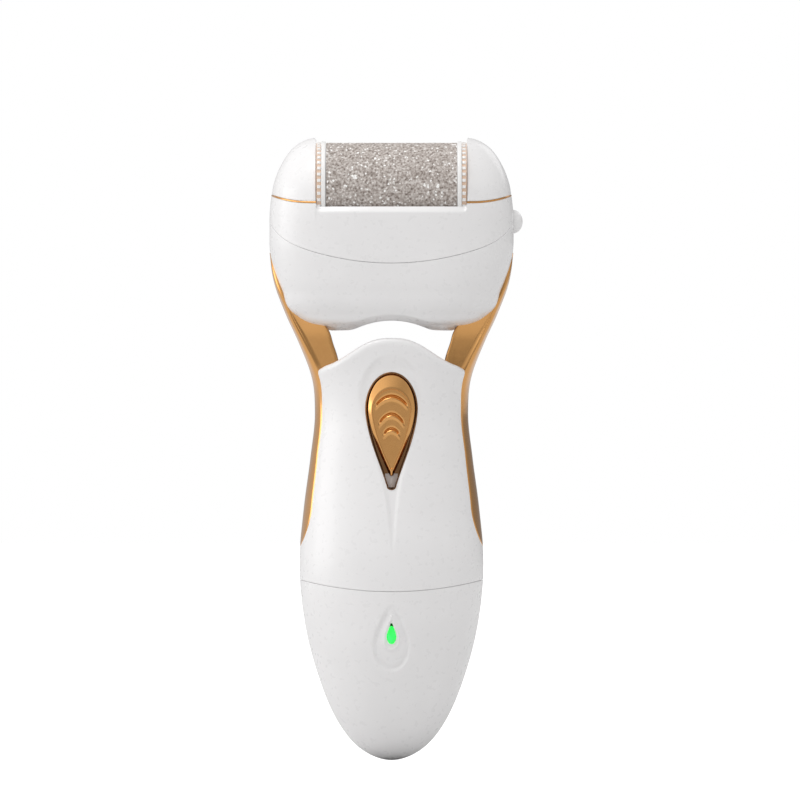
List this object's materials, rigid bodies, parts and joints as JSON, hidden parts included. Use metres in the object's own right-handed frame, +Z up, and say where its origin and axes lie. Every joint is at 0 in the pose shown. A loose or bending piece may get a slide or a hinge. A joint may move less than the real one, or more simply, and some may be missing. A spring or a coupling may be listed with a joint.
{
  "type": "electric callus remover",
  "caption": "Hand-held electric callus remover: waisted white handle with a slide switch, gold side arms, and a wide domed head that carries a spinning abrasive roller.",
  "frame": {"origin": "centre of the bounding box's bottom face, under the end cap, with the release button counted in the width", "axes": "+Z up the handle towards the abrasive roller, -Y out of the face with the slide switch, +X towards the release button"},
  "size_m": [0.0636, 0.0378, 0.156],
  "materials": {
    "black_plastic": "satin",
    "bronze_lining": "dark bronze metallised plastic",
    "cell_wrap": "shrink-wrapped metal can",
    "gear_nylon": "satin",
    "gold_plating": "rose-gold metallised plastic, mirror polished",
    "green_board": "satin",
    "green_lens": "glossy, lit from behind",
    "grey_plastic": "satin",
    "mineral_grit": "fine mineral grit bonded to a sleeve",
    "nickel": "plated strip",
    "steel": "machined",
    "white_plastic": "glossy moulded ABS",
    "wire_jacket": "satin"
  },
  "bodies": {
    "housing": {"head_bowl": "white_plastic", "head_collar": "white_plastic", "left_lobe_cover": "white_plastic", "left_trim_strip": "gold_plating", "right_lobe_cover": "white_plastic", "right_trim_strip": "gold_plating", "roller_cradle": "grey_plastic", "handle_front_shell": "white_plastic", "handle_rear_shell": "white_plastic", "left_arm": "gold_plating", "right_arm": "gold_plating", "end_cap": "white_plastic", "switch_bezel": "bronze_lining", "slide_switch": "steel", "control_board": "green_board", "middle_gear_axle": "steel", "compound_gear_axle": "steel", "motor_can": "steel", "motor_end_bell": "black_plastic", "motor_screw_1": "steel", "motor_screw_2": "steel", "lever_pin": "steel", "release_spring": "steel", "left_cell": "cell_wrap", "left_cell_tab": "nickel", "right_cell": "cell_wrap", "right_cell_tab": "nickel", "cell_link": "nickel", "battery_bracket": "black_plastic", "indicator_lens": "green_lens", "indicator_lamp": "green_lens", "charge_board": "green_board", "charge_socket": "black_plastic", "motor_lead": "wire_jacket", "charge_lead": "wire_jacket", "socket_lead": "wire_jacket", "handle_screw_1": "steel", "handle_screw_2": "steel", "handle_screw_3": "steel", "handle_screw_4": "steel", "cradle_screw_1": "steel", "arm_screw_1": "steel", "cradle_screw_2": "steel", "arm_screw_2": "steel"},
    "roller": {"abrasive_sleeve": "mineral_grit", "roller_core": "white_plastic", "left_roller_flange": "white_plastic", "right_roller_flange": "white_plastic", "left_toothed_ring": "white_plastic", "right_toothed_ring": "white_plastic", "drive_gear": "gear_nylon"},
    "middle_gear": {"middle_gear": "gear_nylon"},
    "compound_gear": {"compound_gear": "gear_nylon"},
    "rotor": {"motor_shaft": "steel", "motor_pinion": "gear_nylon"},
    "release_button": {"release_button": "white_plastic"},
    "release_lever": {"release_lever": "grey_plastic"},
    "retainer_pin": {"retainer_pin": "steel"},
    "power_slider": {"power_slider": "gold_plating", "switch_actuator": "black_plastic"}
  },
  "joints": [
    {"name": "roller_spin", "type": "hinge", "parent": "housing", "child": "roller", "pos_m": [0, -0.0044, 0.1428], "axis": [1, 0, 0], "continuous": true},
    {"name": "middle_gear_spin", "type": "hinge", "parent": "housing", "child": "middle_gear", "pos_m": [-0.023, 0.00477, 0.13833], "axis": [1, 0, 0], "continuous": true},
    {"name": "compound_gear_spin", "type": "hinge", "parent": "housing", "child": "compound_gear", "pos_m": [-0.0243, 0.0021, 0.131], "axis": [1, 0, 0], "continuous": true},
    {"name": "motor_spin", "type": "hinge", "parent": "housing", "child": "rotor", "pos_m": [-0.0243, 0.0006, 0.1203], "axis": [1, 0, 0], "continuous": true},
    {"name": "button_press", "type": "slide", "parent": "housing", "child": "release_button", "axis": [-1, 0, 0], "range_m": [0, 0.0017], "stiffness_N_per_m": 800, "springref_m": -0.0004},
    {"name": "lever_rock", "type": "hinge", "parent": "housing", "child": "release_lever", "pos_m": [0.02185, 0.0006, 0.1389], "axis": [0, 1, 0], "range_deg": [0, 23.6]},
    {"name": "pin_retract", "type": "slide", "parent": "housing", "child": "retainer_pin", "axis": [1, 0, 0], "range_m": [0, 0.0018], "deforming": ["release_spring"]},
    {"name": "power_slide", "type": "slide", "parent": "housing", "child": "power_slider", "axis": [0, 0, -1], "range_m": [0, 0.002]}
  ],
  "couplings": [
    {"joint": "middle_gear_spin", "follows": "roller_spin", "ratio": -1.125},
    {"joint": "compound_gear_spin", "follows": "roller_spin", "ratio": 1.8},
    {"joint": "motor_spin", "follows": "roller_spin", "ratio": -4.68},
    {"joint": "lever_rock", "follows": "button_press", "rad_per_m": 241.27},
    {"joint": "pin_retract", "follows": "button_press", "ratio": 1}
  ]
}
